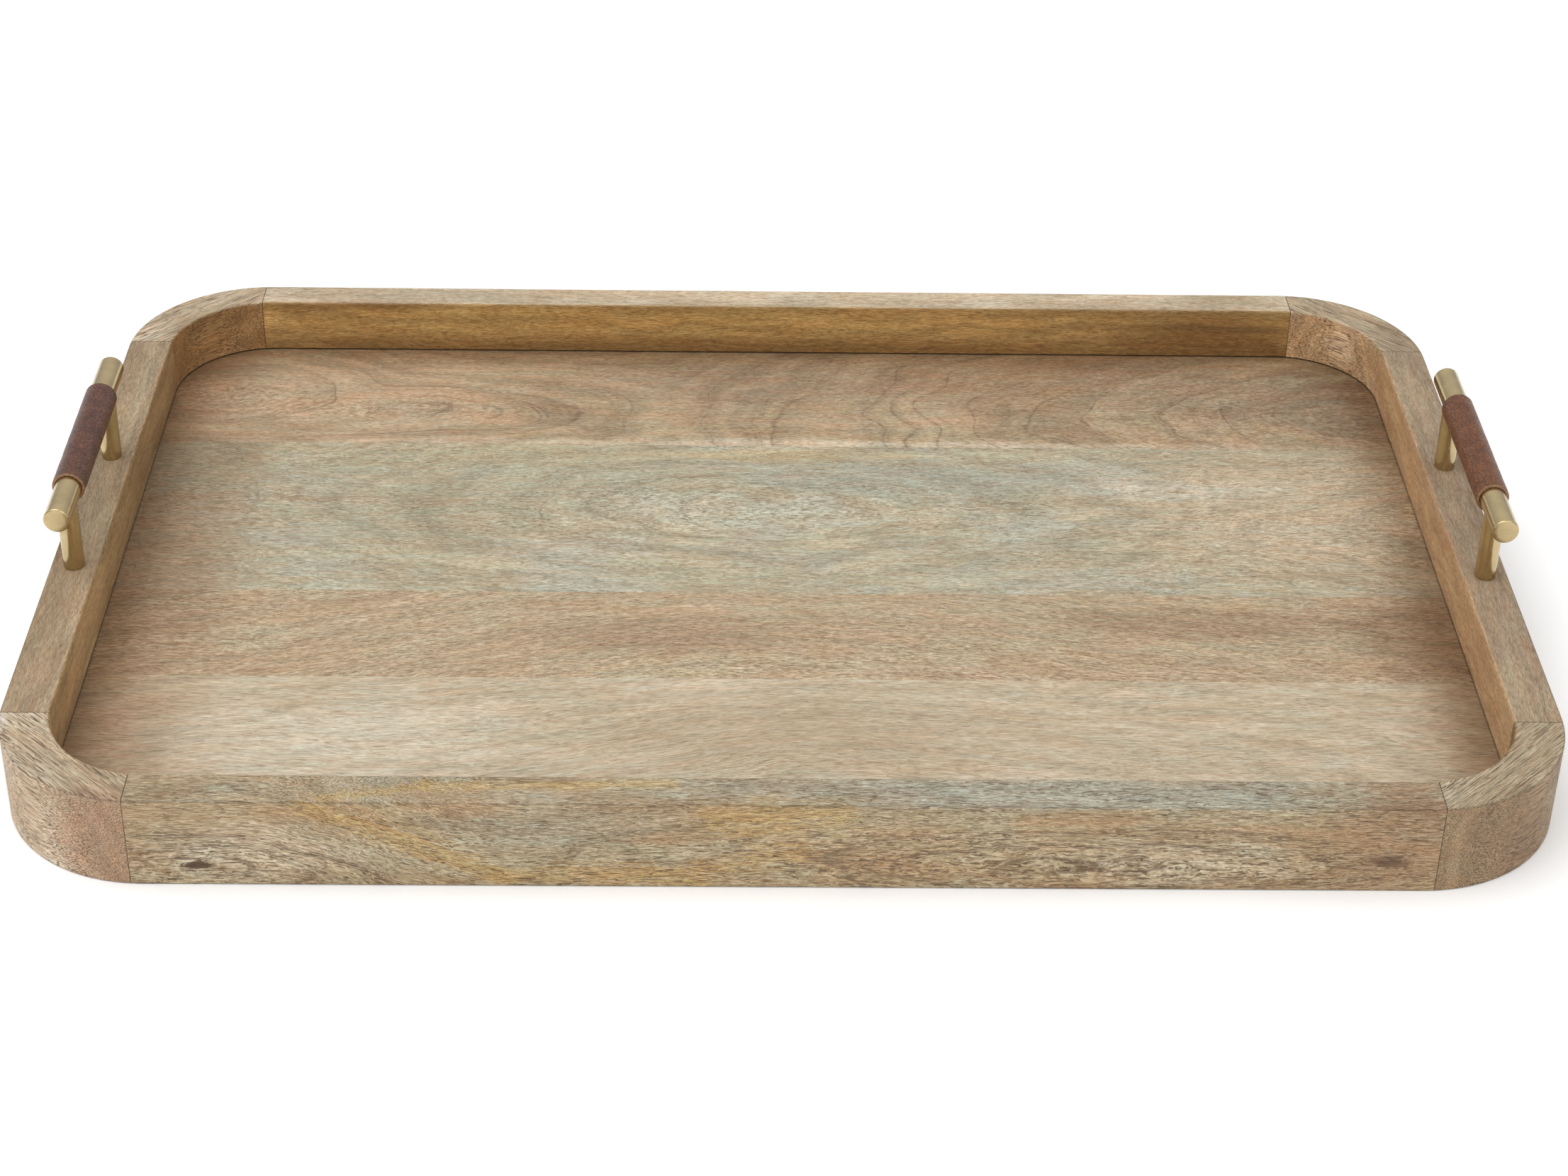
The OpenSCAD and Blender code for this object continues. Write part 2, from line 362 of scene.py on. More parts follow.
def floor_board(name):
    """One board of the floor, its top edges just broken."""
    low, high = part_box(name)
    panel_half_width = WELL_HALF_WIDTH + GROOVE_DEPTH - SWELL_GAP
    at_front = low.y < -panel_half_width + MM
    at_back = high.y > panel_half_width - MM
    bm = bmesh.new()
    rings = []
    for height, ease in (
        (low.z, BOARD_EASE),
        (low.z + BOARD_EASE, 0),
        (high.z - BOARD_EASE, 0),
        (high.z, BOARD_EASE),
    ):
        front_y = low.y if at_front else low.y + ease
        back_y = high.y if at_back else high.y - ease
        margin = GROOVE_DEPTH - SWELL_GAP - ease
        rings.append([bm.verts.new((x, y, height)) for x, y in board_outline(front_y, back_y, margin)])
    bridge_rings(bm, rings)
    bm.faces.new(rings[0])
    bm.faces.new(rings[-1])
    return finish_piece(mesh_object(name, bm), "floor_wood", name)


# ---- Handles ----


def handle_bar(name, side_x):
    """A brass rod with turned, slightly rounded ends, bored for the studs."""
    length = BAR_HIGH.y - BAR_LOW.y
    rounding = 0.6 * MM
    low_end = arc_points((BAR_RADIUS - rounding, rounding), rounding, 270, 360, steps=5)
    high_end = arc_points((BAR_RADIUS - rounding, length - rounding), rounding, 0, 90, steps=5)
    face = [(BAR_RADIUS * share, 0) for share in (0.3, 0.6)]
    far_face = [(radius, length) for radius, _ in reversed(face)]
    bm = lathe([(0, 0)] + face + low_end + high_end + far_face + [(0, length)], 96)
    turn = Matrix.Rotation(math.radians(-90), 4, "X")
    bm.transform(Matrix.Translation((side_x * HANDLE_X, BAR_LOW.y, HANDLE_Z)) @ turn)
    bar = mesh_object(name, bm)
    stud_low, stud_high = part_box("right_post_studs")
    bores = []
    for y in (-POST_Y, POST_Y):
        start = Vector((side_x * HANDLE_X, y, stud_low.z))
        end = Vector((side_x * HANDLE_X, y, stud_high.z + MM))
        bores.append((SCREW_RADIUS + BORE_GAP, start, end))
    cut_bores(bar, bores)
    return finish_piece(bar, "brass", name)


def post(name, side_x, side_y):
    """A brass post with an eased foot and a top coped to the bar."""
    segments = 72
    ease = 0.4 * MM
    lip = 0.15 * MM
    bore = SCREW_RADIUS + BORE_GAP
    blind_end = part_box("right_post_studs")[0].z - MM
    screw_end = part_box("right_handle_screws")[1].z + MM
    foot = arc_points((POST_RADIUS - ease, RIM_TOP + ease), ease, 270, 360, steps=4)

    def bar_underside(radius, angle):
        return HANDLE_Z - math.sqrt(BAR_RADIUS**2 - (radius * math.cos(angle)) ** 2)

    # Each ring is (radius, height, whether that height is measured from the bar's underside)
    wall = [(bore, blind_end, False), (bore, 0, True)]
    wall += [(POST_RADIUS - lip, 0, True), (POST_RADIUS, -lip, True)]
    wall += [(radius, height, False) for radius, height in reversed(foot)]
    wall += [(bore, RIM_TOP, False), (bore, screw_end, False)]
    bm = bmesh.new()
    rings = []
    for radius, height, coped in wall:
        ring = []
        for i in range(segments):
            angle = 2 * math.pi * i / segments
            z = bar_underside(radius, angle) + height if coped else height
            ring.append(bm.verts.new((radius * math.cos(angle), radius * math.sin(angle), z)))
        rings.append(ring)
    bridge_rings(bm, rings)
    bm.faces.new(rings[0])
    bm.faces.new(rings[-1])
    bm.transform(Matrix.Translation((side_x * HANDLE_X, side_y * POST_Y, 0)))
    return finish_piece(mesh_object(name, bm), "brass", name)


def leather_sleeve(name, side_x):
    """A leather tube with rounded cut edges, a butt seam underneath and a slightly uneven skin."""
    length = SLEEVE_HIGH.y - SLEEVE_LOW.y
    skin = 0.12 * MM
    outer = SLEEVE_RADIUS - skin
    inner = BAR_RADIUS + BORE_GAP
    inner_ease = 0.1 * MM
    rounding = 0.35 * MM
    segments = 160
    steps = 110
    seam_half_angle = math.radians(5)
    seam_depth = 0.45 * MM
    lumps_round = 2.2
    lump_length = 7 * MM
    profile = [(inner, rounding), (inner + inner_ease, 0)]
    profile += arc_points((outer - rounding, rounding), rounding, 270, 360, steps=4)
    span = length - 2 * rounding
    profile += [(outer, rounding + span * i / steps) for i in range(1, steps)]
    profile += arc_points((outer - rounding, length - rounding), rounding, 0, 90, steps=4)
    profile += [(inner + inner_ease, length), (inner, length - rounding)]
    bm = bmesh.new()
    rings = []
    for radius, height in profile:
        ring = []
        for i in range(segments):
            angle = 2 * math.pi * i / segments
            across, up = math.cos(angle), math.sin(angle)
            on_skin = max(0, (radius - inner) / (outer - inner)) ** 2
            place = Vector((across * lumps_round + side_x, up * lumps_round, height / lump_length))
            lump = 0.8 * skin * noise.noise(place)
            from_seam = abs(angle - 1.5 * math.pi) / seam_half_angle
            groove = seam_depth * max(0, 1 - from_seam) ** 0.6
            reach = radius + on_skin * (lump - groove)
            ring.append(bm.verts.new((reach * across, reach * up, height)))
        rings.append(ring)
    bridge_rings(bm, rings, closed=True)
    turn = Matrix.Rotation(math.radians(-90), 4, "X") @ Matrix.Rotation(math.radians(180), 4, "Z")
    bm.transform(Matrix.Translation((side_x * HANDLE_X, SLEEVE_LOW.y, HANDLE_Z)) @ turn)
    return finish_piece(mesh_object(name, bm, sharp_angle=60), "leather", name)


# ---- Materials ----


class NodeTree:
    """Builds the node tree of one material, in millimetres. Values are numbers, tuples or node outputs."""

    def __init__(self, name):
        self.material = bpy.data.materials.new(name)
        self.material.use_nodes = True
        self.tree = self.material.node_tree
        self.shader = self.tree.nodes["Principled BSDF"]
        source = self.add("ShaderNodeTexCoord")
        self.place = self.vector("MULTIPLY", source.outputs["Object"], (1 / MM, 1 / MM, 1 / MM))
        self.facing = source.outputs["Normal"]

    def add(self, kind, values=(), **settings):
        """Adds a node with its settings, then feeds its first inputs."""
        node = self.tree.nodes.new(kind)
        for key, value in settings.items():
            setattr(node, key, value)
        for socket, value in zip(node.inputs, values):
            self.feed(socket, value)
        return node

    def feed(self, socket, value):
        if isinstance(value, bpy.types.NodeSocket):
            self.tree.links.new(value, socket)
        else:
            socket.default_value = value

    def math(self, operation, *values, clamp=False):
        return self.add("ShaderNodeMath", values, operation=operation, use_clamp=clamp).outputs[0]

    def vector(self, operation, *values):
        node = self.add("ShaderNodeVectorMath", values, operation=operation)
        return node.outputs["Value" if operation in ("LENGTH", "DOT_PRODUCT") else "Vector"]

    def split(self, vector):
        return self.add("ShaderNodeSeparateXYZ", (vector,)).outputs[:]

    def join(self, x, y, z):
        return self.add("ShaderNodeCombineXYZ", (x, y, z)).outputs[0]

    def turn(self, vector, angle):
        """Turns a vector round +Z by an angle in degrees."""
        node = self.add("ShaderNodeVectorRotate", (vector,), rotation_type="Z_AXIS")
        node.inputs["Angle"].default_value = math.radians(angle)
        return node.outputs[0]

    def ramp(self, value, low, high, to_low=0, to_high=1):
        """A smooth step between two values, which may run downwards."""
        values = (value, low, high, to_low, to_high)
        return self.add("ShaderNodeMapRange", values, interpolation_type="SMOOTHSTEP").outputs[0]

    def blend(self, share, first, second):
        node = self.add("ShaderNodeMix", data_type="RGBA")
        for index, value in ((0, share), (6, first), (7, second)):
            if isinstance(value, tuple):
                value = (*value, 1)
            self.feed(node.inputs[index], value)
        return node.outputs[2]

    def scale(self, vector, factor):
        """Multiplies a colour or a vector by a number."""
        return self.vector("MULTIPLY", vector, self.join(factor, factor, factor))

    def noise(self, place, scale, detail, roughness, output="Fac", place_input="Vector"):
        """Noise at one scale, or at a scale for each axis. It is 1D where the place goes to the input W."""
        if isinstance(scale, tuple):
            place, scale = self.vector("MULTIPLY", place, scale), 1
        node = self.add("ShaderNodeTexNoise", noise_dimensions="1D" if place_input == "W" else "3D")
        inputs = {place_input: place, "Scale": scale, "Detail": detail, "Roughness": roughness}
        for key, value in inputs.items():
            self.feed(node.inputs[key], value)
        return node.outputs[output]

    def swing(self, noise, size, middle=0):
        """Turns noise of 0 to 1 into a swing of a given size round a middle value."""
        return self.math("MULTIPLY_ADD", self.math("SUBTRACT", noise, 0.5), size, middle)

    def reach_from(self, place, centre, half_size):
        """How far a place lies from the centre of an ellipsoid: 1 is its surface."""
        offset = self.vector("SUBTRACT", place, centre)
        return self.vector("LENGTH", self.vector("MULTIPLY", offset, tuple(1 / size for size in half_size)))

    def surface(self, colour, roughness, metallic=0.0, specular=0.5):
        self.feed(self.shader.inputs["Base Color"], colour)
        self.feed(self.shader.inputs["Roughness"], roughness)
        self.shader.inputs["Metallic"].default_value = metallic
        self.shader.inputs["Specular IOR Level"].default_value = specular

    def bump(self, height, depth, strength):
        """Relief from a height of 0 to 1, depth millimetres deep."""
        node = self.add("ShaderNodeBump")
        node.inputs["Strength"].default_value = strength
        node.inputs["Distance"].default_value = depth * MM
        self.feed(node.inputs["Height"], height)
        self.feed(self.shader.inputs["Normal"], node.outputs[0])


# Tones are linear red, green and blue
PINK_TAN = (0.45, 0.315, 0.20)
TAN = (0.40, 0.30, 0.18)
WARM_BROWN = (0.29, 0.185, 0.105)
GREEN_BEIGE = (0.445, 0.40, 0.275)
GREY_BEIGE = (0.345, 0.285, 0.19)
PALE_GREY = (0.40, 0.365, 0.275)
BLUE_GREY = (0.31, 0.30, 0.235)
CREAM = (0.57, 0.47, 0.34)
WARM_CREAM = (0.48, 0.37, 0.245)
OCHRE = (0.47, 0.32, 0.12)
DARK_KNOT = (0.07, 0.04, 0.02)
LINE_BROWN = (0.105, 0.063, 0.036)
# Partly stain, partly painted shade, for the floor towards the well's walls
FLOOR_EDGE_STAIN_AND_SHADE = (0.62, 0.53, 0.43)
WALL_TINT = (0.90, 0.76, 0.56)

SEED_STEPS = (137.0, 61.0, 23.0)  # how far apart in the noise two pieces of wood lie
FLOW_PULL = 0.7  # the share of its offset by which the grain parts at the middle of an eye
EYE_MERGE = 12  # the distance over which the rings of two eyes run together
MARK_FADE = 6  # the distance over which the ends of a marked ring fade

# ---- Wood ----


def past_planes(tree, x, y):
    """How far a place lies past x and y, both measured from the middle to either side."""
    return tree.vector("SUBTRACT", tree.vector("ABSOLUTE", tree.place), (x / MM, y / MM, 0))


def distance_past_well(tree):
    """Distance from the well's wall: below 0 inside the well, above 0 in the rim."""
    past = past_planes(tree, WELL_HALF_LENGTH - WELL_RADIUS, WELL_HALF_WIDTH - WELL_RADIUS)
    past_x, past_y, _ = tree.split(past)
    corner = tree.vector("LENGTH", tree.vector("MAXIMUM", tree.join(past_x, past_y, 0), (0, 0, 0)))
    inner = tree.math("MINIMUM", tree.math("MAXIMUM", past_x, past_y), 0)
    return tree.math("SUBTRACT", tree.math("ADD", corner, inner), WELL_RADIUS / MM)


def distance_to_joint(tree):
    """Distance to the nearest of the planes where the rim's pieces meet."""
    past_x, past_y, _ = tree.split(tree.vector("ABSOLUTE", past_planes(tree, JOINT_X, JOINT_Y)))
    return tree.math("MINIMUM", past_x, past_y)


def bend_grain(tree, straight, shifted, warp, dips):
    """Bends the grain with slow noise, and lets it fall between the two ends of each dip."""
    slow = tree.noise(shifted, (0.011, 0.026, 0.026), 2, 0.5, "Color")
    drift = tree.vector("SUBTRACT", slow, (0.5, 0.5, 0.5))
    bent = tree.vector("ADD", straight, tree.vector("MULTIPLY", drift, (4 * warp, 2 * warp, 2 * warp)))
    for start, end, fall in dips:
        sunk = tree.ramp(tree.split(straight)[0], start, end)
        bent = tree.vector("ADD", bent, tree.scale((0, *fall), sunk))
    return bent


def ring_field(tree, place, eyes):
    """Distance from the heart of the wood, stretched along the grain: it is least at the eyes."""
    field = None
    for centre, half_length, half_width, lead in eyes:
        offset = tree.vector("SUBTRACT", place, centre)
        reach = tree.vector("LENGTH", tree.vector("MULTIPLY", offset, (half_width / half_length, 1, 1)))
        one = tree.math("SUBTRACT", reach, lead)
        field = one if field is None else tree.math("SMOOTH_MIN", field, one, EYE_MERGE)
    return field


def flow_round(tree, place, eyes):
    """Pushes the grain aside, so that it parts and runs round each eye."""
    for centre, half_length, half_width, _ in eyes:
        reach = tree.reach_from(place, centre, (half_length, half_width, half_width))
        fading = tree.math("EXPONENT", tree.math("MULTIPLY", tree.math("MULTIPLY", reach, reach), -1))
        pull = tree.math("MULTIPLY", fading, FLOW_PULL)
        offset = tree.vector("SUBTRACT", place, centre)
        place = tree.vector("SUBTRACT", place, tree.vector("MULTIPLY", offset, tree.join(0, pull, pull)))
    return place


def lay_patches(tree, colour, edge, patches):
    """Blends in tones over ellipsoids with ragged edges."""
    for tone, centre, half_size, strength in patches:
        reach = tree.math("ADD", tree.reach_from(tree.place, centre, half_size), edge)
        colour = tree.blend(tree.ramp(reach, 1.2, 0.35, 0, strength), colour, tone)
    return colour


def lay_strokes(tree, colour, edge, streak, strokes):
    """Blends in tones along straight strokes, which the streaks of the grain break up."""
    for tone, start, end, half_width, strength in strokes:
        run = Vector(end) - Vector(start)
        offset = tree.vector("SUBTRACT", tree.place, start)
        dot = tree.vector("DOT_PRODUCT", offset, tuple(run))
        share = tree.math("MULTIPLY", dot, 1 / run.length_squared, clamp=True)
        aside = tree.vector("SUBTRACT", offset, tree.scale(tuple(run), share))
        reach = tree.math("MULTIPLY_ADD", tree.vector("LENGTH", aside), 1 / half_width, edge)
        reach = tree.math("ADD", reach, tree.math("MULTIPLY_ADD", streak, 4, -2))
        colour = tree.blend(tree.ramp(reach, 1.4, 0.0, 0, strength), colour, tone)
    return colour


def growth_lines(tree, field, ring, ring_gap):
    """Hair lines at some of the growth rings."""
    spread = tree.math("MULTIPLY_ADD", field, 1.2 / ring_gap, tree.math("MULTIPLY", ring, 3))
    line = tree.ramp(tree.math("PINGPONG", spread, 0.5), 0.05, 0.0)
    return tree.math("MULTIPLY", line, tree.ramp(ring, 0.45, 0.62))


def mark_rings(tree, field, along, line, dash, marks):
    """Adds the marked rings to the hair lines, and crowds the pores beside them."""
    for distance, start, end in marks:
        away = tree.math("ABSOLUTE", tree.math("SUBTRACT", field, distance))
        begun = tree.ramp(along, start - MARK_FADE, start + MARK_FADE)
        shown = tree.math("MULTIPLY", begun, tree.ramp(along, end + MARK_FADE, end - MARK_FADE))
        line = tree.math("MAXIMUM", line, tree.math("MULTIPLY", tree.ramp(away, 0.42, 0.08), shown))
        dash = tree.math("MULTIPLY_ADD", tree.math("MULTIPLY", tree.ramp(away, 2.0, 0.3), shown), 0.045, dash)
    return line, dash


def lay_flecks(tree, colour, noise, depth):
    """Darkens a colour towards brown where the noise is low, and pales it where the noise is high."""
    channels = [tree.ramp(noise, 0.28, 0.72, 1 - depth * part, 1 + depth * part) for part in (0.8, 1, 1.25)]
    return tree.vector("MULTIPLY", colour, tree.join(*channels))


def lay_knots(tree, colour, speck, knots):
    for centre, half_size in knots:
        reach = tree.swing(speck, 0.5, tree.reach_from(tree.place, centre, half_size))
        colour = tree.blend(tree.ramp(reach, 1.1, 0.7, 0, 0.9), colour, DARK_KNOT)
    return colour


def stain_and_shade_floor_edge(tree, colour, cloud):
    """Darkens a floor board towards the well's wall, partly as stain and partly as painted shade, and most of
    all along the rim's groove, where the dark line is painted shade.
    """
    past_wall = distance_past_well(tree)
    stained_and_shaded = tree.vector("MULTIPLY", colour, FLOOR_EDGE_STAIN_AND_SHADE)
    # Partly stain, partly painted shade: the board darkens towards the well's wall
    colour = tree.blend(tree.ramp(tree.swing(cloud, 14, past_wall), -26, 0, 0, 0.85), colour, stained_and_shaded)
    # Painted shade: a dark line where the board runs into the rim's groove
    return tree.scale(colour, tree.ramp(past_wall, -0.6, -0.1, 1, 0.6))


def tint_wall(tree, colour, cloud, tint):
    """Tints a rim piece's inner wall."""
    past = tree.swing(cloud, 0.5, distance_past_well(tree))
    return tree.blend(tree.ramp(past, 1.4, 0.2), colour, tree.vector("MULTIPLY", colour, tint))


def wear_rim(tree, colour, upright):
    """Darkens the eased edges and the fine lines where the rim's pieces meet."""
    eased_edge = tree.math("MULTIPLY", tree.ramp(upright, 0.1, 0.4), tree.ramp(upright, 0.99, 0.85))
    colour = tree.scale(colour, tree.math("SUBTRACT", 1, tree.math("MULTIPLY", eased_edge, 0.25)))
    return tree.scale(colour, tree.ramp(distance_to_joint(tree), 0.05, 0.3, 0.55, 1))


def wood(name, tones, eyes, turn=0, seed=0, warp=5, wave=0.6, wiggle=1, dips=(), ring_gap=7, bands=0.1,
         lines=0.3, marks=(), pores=0.5, pore_length=6, pore_width=0.36, open_grain=0.0, fleck=0.16,
         fleck_length=3.5, hue=0.04, side_tone=(1, 1, 1), patches=(), strokes=(), knots=(), in_rim=False,
         wall_tint=None):
    """Oiled mango wood: broad tones, growth rings round the eyes, then streaks, flecks and pores.

    turn is the grain's direction in degrees from +X. An eye is (centre, half length, half width, lead over
    the other eyes), and a knot (centre, half size). A dip (start, end, fall) lets the grain fall between
    two places along it. A mark (distance, start, end) is a ring that shows as a dark line. A patch is
    (tone, centre, half size, strength) and a stroke (tone, start, end, half width, strength). side_tone
    tints the upright faces, and wall_tint the inner wall of a rim piece."""
    tree = NodeTree(name)
    to_grain = Matrix.Rotation(math.radians(-turn), 3, "Z")
    eyes = [(tuple(to_grain @ Vector(centre)), *rest) for centre, *rest in eyes]
    straight = tree.turn(tree.place, -turn)
    shifted = tree.vector("ADD", straight, tuple(step * seed for step in SEED_STEPS))
    bent = bend_grain(tree, straight, shifted, warp, dips)
    ripple = tree.swing(tree.noise(shifted, (0.07, 0.15, 0.15), 3, 0.6), 4 * wave)
    sway = tree.swing(tree.noise(shifted, (0.03, 0.045, 0.045), 0, 0.5), 8 * wiggle)
    field = tree.math("ADD", tree.math("ADD", ring_field(tree, bent, eyes), ripple), sway)
    along, across, deep = tree.split(flow_round(tree, bent, eyes))
    across = tree.math("ADD", across, ripple)
    deep = tree.math("ADD", deep, ripple)

    def grain(length, width, detail, roughness, offset):
        """Noise in cells of a length along the grain and a width across it."""
        cells = tree.join(
            tree.math("MULTIPLY_ADD", along, 1 / length, 17.0 * seed + offset),
            tree.math("MULTIPLY", across, 1 / width),
            tree.math("MULTIPLY", deep, 1 / width),
        )
        return tree.noise(cells, 1, detail, roughness)

    cloud = tree.noise(shifted, (0.018, 0.05, 0.05), 3, 0.6)
    blotch = grain(34, 9, 3, 0.6, 0.0)
    streak = grain(22, 1.3, 3, 0.65, 5.0)
    shift = grain(24, 4.5, 3, 0.6, 21.0)
    speck = grain(fleck_length, 0.4, 2, 0.7, 9.0)
    dash = grain(pore_length, pore_width, 1, 0.5, 14.0)
    rings_out = tree.math("MULTIPLY_ADD", field, 1 / ring_gap, 3.7 * seed)
    ring = tree.noise(rings_out, 1, 2.5, 0.6, place_input="W")

    # Broad tones, with warmer and cooler bands along the grain
    colour = tree.blend(tree.ramp(blotch, 0.34, 0.66), tones[0], tones[1])
    colour = tree.blend(tree.ramp(cloud, 0.42, 0.66), colour, tones[2])
    edge = tree.math("MULTIPLY_ADD", blotch, 1.4, -0.7)
    colour = lay_patches(tree, colour, edge, patches)
    colour = lay_strokes(tree, colour, edge, streak, strokes)
    warmer = (1 + hue, 1 - hue / 3, 1 - hue)
    cooler = (1 - hue, 1 + hue / 3, 1 + hue)
    colour = tree.vector("MULTIPLY", colour, tree.blend(tree.ramp(shift, 0.3, 0.7), warmer, cooler))
    upright = tree.math("ABSOLUTE", tree.split(tree.facing)[2])
    colour = tree.blend(tree.ramp(upright, 0.75, 0.35), colour, tree.vector("MULTIPLY", colour, side_tone))

    # Rings, streaks, flecks and pores
    line, dash = mark_rings(tree, field, along, growth_lines(tree, field, ring, ring_gap), dash, marks)
    line = tree.math("MULTIPLY", line, tree.ramp(streak, 0.66, 0.44, 0.4 * lines, lines))
    crowd = tree.ramp(tree.math("ADD", ring, tree.math("SUBTRACT", cloud, 0.5)), 0.3, 0.7, 0.7, 1)
    pore = tree.math("MULTIPLY", tree.ramp(dash, 0.57 - open_grain, 0.64 - open_grain), crowd)
    colour = tree.scale(colour, tree.ramp(ring, 0.36, 0.64, 1 + bands / 2, 1 - bands))
    colour = lay_flecks(tree, colour, streak, fleck * 0.75)
    colour = lay_flecks(tree, colour, speck, fleck * 2.2)
    colour = tree.blend(tree.math("MAXIMUM", line, tree.math("MULTIPLY", pore, pores)), colour, LINE_BROWN)
    colour = lay_knots(tree, colour, speck, knots)

    # Stains and wear, with painted shade along the floor's edges
    if not in_rim:
        colour = stain_and_shade_floor_edge(tree, colour, cloud)
    if wall_tint:
        colour = tint_wall(tree, colour, cloud, wall_tint)
    if in_rim:
        colour = wear_rim(tree, colour, upright)
    tree.surface(colour, tree.ramp(streak, 0.25, 0.75, 0.64, 0.5), specular=0.3)
    tree.bump(tree.math("SUBTRACT", tree.math("MULTIPLY", speck, 0.3), pore), 0.1, 0.4)
    return tree.material


# ---- Brass, leather, zinc and beech ----


def brass(tone, roughness):
    """Satin brass with fine brushing round the rod and a few duller clouds."""
    tree = NodeTree("brass")
    brushed = tree.noise(tree.place, (0.25, 9, 0.25), 3, 0.7)
    cloudy = tree.noise(tree.place, 0.12, 3, 0.6)
    worn = tree.noise(tree.place, 0.6, 4, 0.65)
    colour = tree.blend(tree.ramp(cloudy, 0.35, 0.7), tone, tuple(0.86 * channel for channel in tone))
    colour = tree.scale(colour, tree.ramp(brushed, 0.3, 0.7, 0.93, 1.05))
    gloss = tree.ramp(brushed, 0.3, 0.7, roughness - 0.04, roughness + 0.05)
    tree.surface(colour, tree.math("ADD", gloss, tree.ramp(worn, 0.5, 0.7, 0, 0.06)), metallic=1)
    tree.bump(brushed, 0.01, 0.5)
    return tree.material


def leather(name, tone, dark_tone):
    """Pebble grain stretched round the sleeve on the outside, tan fibres on the cut ends."""
    tree = NodeTree(name)
    wobble = tree.scale(tree.noise(tree.place, 0.8, 2, 0.5, "Color"), 1.2)
    place = tree.vector("MULTIPLY", tree.vector("ADD", tree.place, wobble), (0.75, 1.5, 0.75))
    cells = tree.add("ShaderNodeTexVoronoi", (place,), feature="DISTANCE_TO_EDGE", voronoi_dimensions="3D")
    cells.inputs["Scale"].default_value = 0.9
    pebble = tree.ramp(cells.outputs["Distance"], 0.0, 0.26)
    fine = tree.noise(tree.place, 2.6, 3, 0.65)
    cloudy = tree.noise(tree.place, 0.16, 3, 0.6)
    colour = tree.blend(tree.ramp(cloudy, 0.35, 0.65), tone, dark_tone)
    colour = tree.scale(colour, tree.ramp(pebble, 0, 1, 0.52, 1.12))
    colour = tree.scale(colour, tree.ramp(fine, 0.3, 0.7, 0.82, 1.16))
    from_end = tree.math("SUBTRACT", SLEEVE_HIGH.y / MM, tree.math("ABSOLUTE", tree.split(tree.place)[1]))
    fibres = tree.blend(tree.noise(tree.place, 5, 3, 0.7), (0.22, 0.11, 0.055), (0.42, 0.25, 0.13))
    colour = tree.blend(tree.ramp(from_end, 0.32, 0.05), colour, fibres)
    tree.surface(colour, tree.ramp(fine, 0.3, 0.7, 0.28, 0.44), specular=0.38)
    tree.bump(tree.math("MULTIPLY_ADD", fine, 0.4, pebble), 0.3, 1)
    return tree.material


def zinc():
    """Bright zinc plating with a faint mottle and drawing marks."""
    tree = NodeTree("zinc_steel")
    mottle = tree.noise(tree.place, 0.9, 4, 0.65)
    drawn = tree.noise(tree.place, (6, 6, 0.6), 2, 0.6)
    colour = tree.blend(tree.ramp(mottle, 0.35, 0.7), (0.66, 0.67, 0.68), (0.55, 0.56, 0.54))
    tree.surface(colour, tree.ramp(mottle, 0.3, 0.7, 0.26, 0.42), metallic=1)
    tree.bump(drawn, 0.01, 0.4)
    return tree.material


def beech():
    """Plain turned beech, with its short darker flecks."""
    tree = NodeTree("beech")
    flecks = tree.noise(tree.place, (0.5, 2.2, 2.2), 2, 0.6)
    cloudy = tree.noise(tree.place, 0.25, 3, 0.6)
    colour = tree.blend(tree.ramp(cloudy, 0.35, 0.65), (0.60, 0.42, 0.24), (0.50, 0.34, 0.19))
    colour = tree.blend(tree.ramp(flecks, 0.58, 0.7, 0, 0.5), colour, (0.30, 0.17, 0.08))
    tree.surface(colour, tree.ramp(flecks, 0.3, 0.7, 0.55, 0.7))
    tree.bump(flecks, 0.05, 0.4)
    return tree.material


# ---- Pieces ----

SIDES = (("left", -1), ("right", 1))
ENDS = (("front", -1), ("back", 1))
rim_pieces = {f"{end}_rail": long_rail(f"{end}_rail", side_y) for end, side_y in ENDS}
rim_pieces |= {f"{side}_rail": side_rail(f"{side}_rail", side_x) for side, side_x in SIDES}
for end, side_y in ENDS:
    for side, side_x in SIDES:
        name = f"{end}_{side}_corner"
        rim_pieces[name] = corner_block(name, side_x, side_y)
floor_boards = [floor_board(f"floor_board_{number}") for number in range(1, 5)]
brass_pieces = []
sleeves = []
for side, side_x in SIDES:
    brass_pieces.append(handle_bar(f"{side}_handle_bar", side_x))
    for end, side_y in ENDS:
        brass_pieces.append(post(f"{side}_{end}_post", side_x, side_y))
    sleeves.append(leather_sleeve(f"{side}_leather_sleeve", side_x))

# ---- Painting: patches, strokes and marks follow the wood in the photograph ----

FRONT = -HALF_WIDTH / MM
FLOOR = FLOOR_TOP / MM
WELL_END = WELL_HALF_LENGTH / MM


def paint(piece, material):
    piece.data.materials.clear()
    piece.data.materials.append(material)


def floor_patches(*patches):
    """A board's patches, from (x, y, half length, half width, tone, strength), and its brown ends by the side
    walls, which are partly stain and partly painted shade.
    """
    # Partly stain, partly painted shade where the side walls shade the boards' ends
    stained_and_shaded_ends = [
        (WARM_BROWN, (-WELL_END, 0, FLOOR), (52, 400, 40), 0.8),
        (WARM_BROWN, (WELL_END, 0, FLOOR), (34, 400, 40), 0.6),
    ]
    return stained_and_shaded_ends + [
        (tone, (x, y, FLOOR), (half_length, half_width, 20), strength)
        for x, y, half_length, half_width, tone, strength in patches
    ]


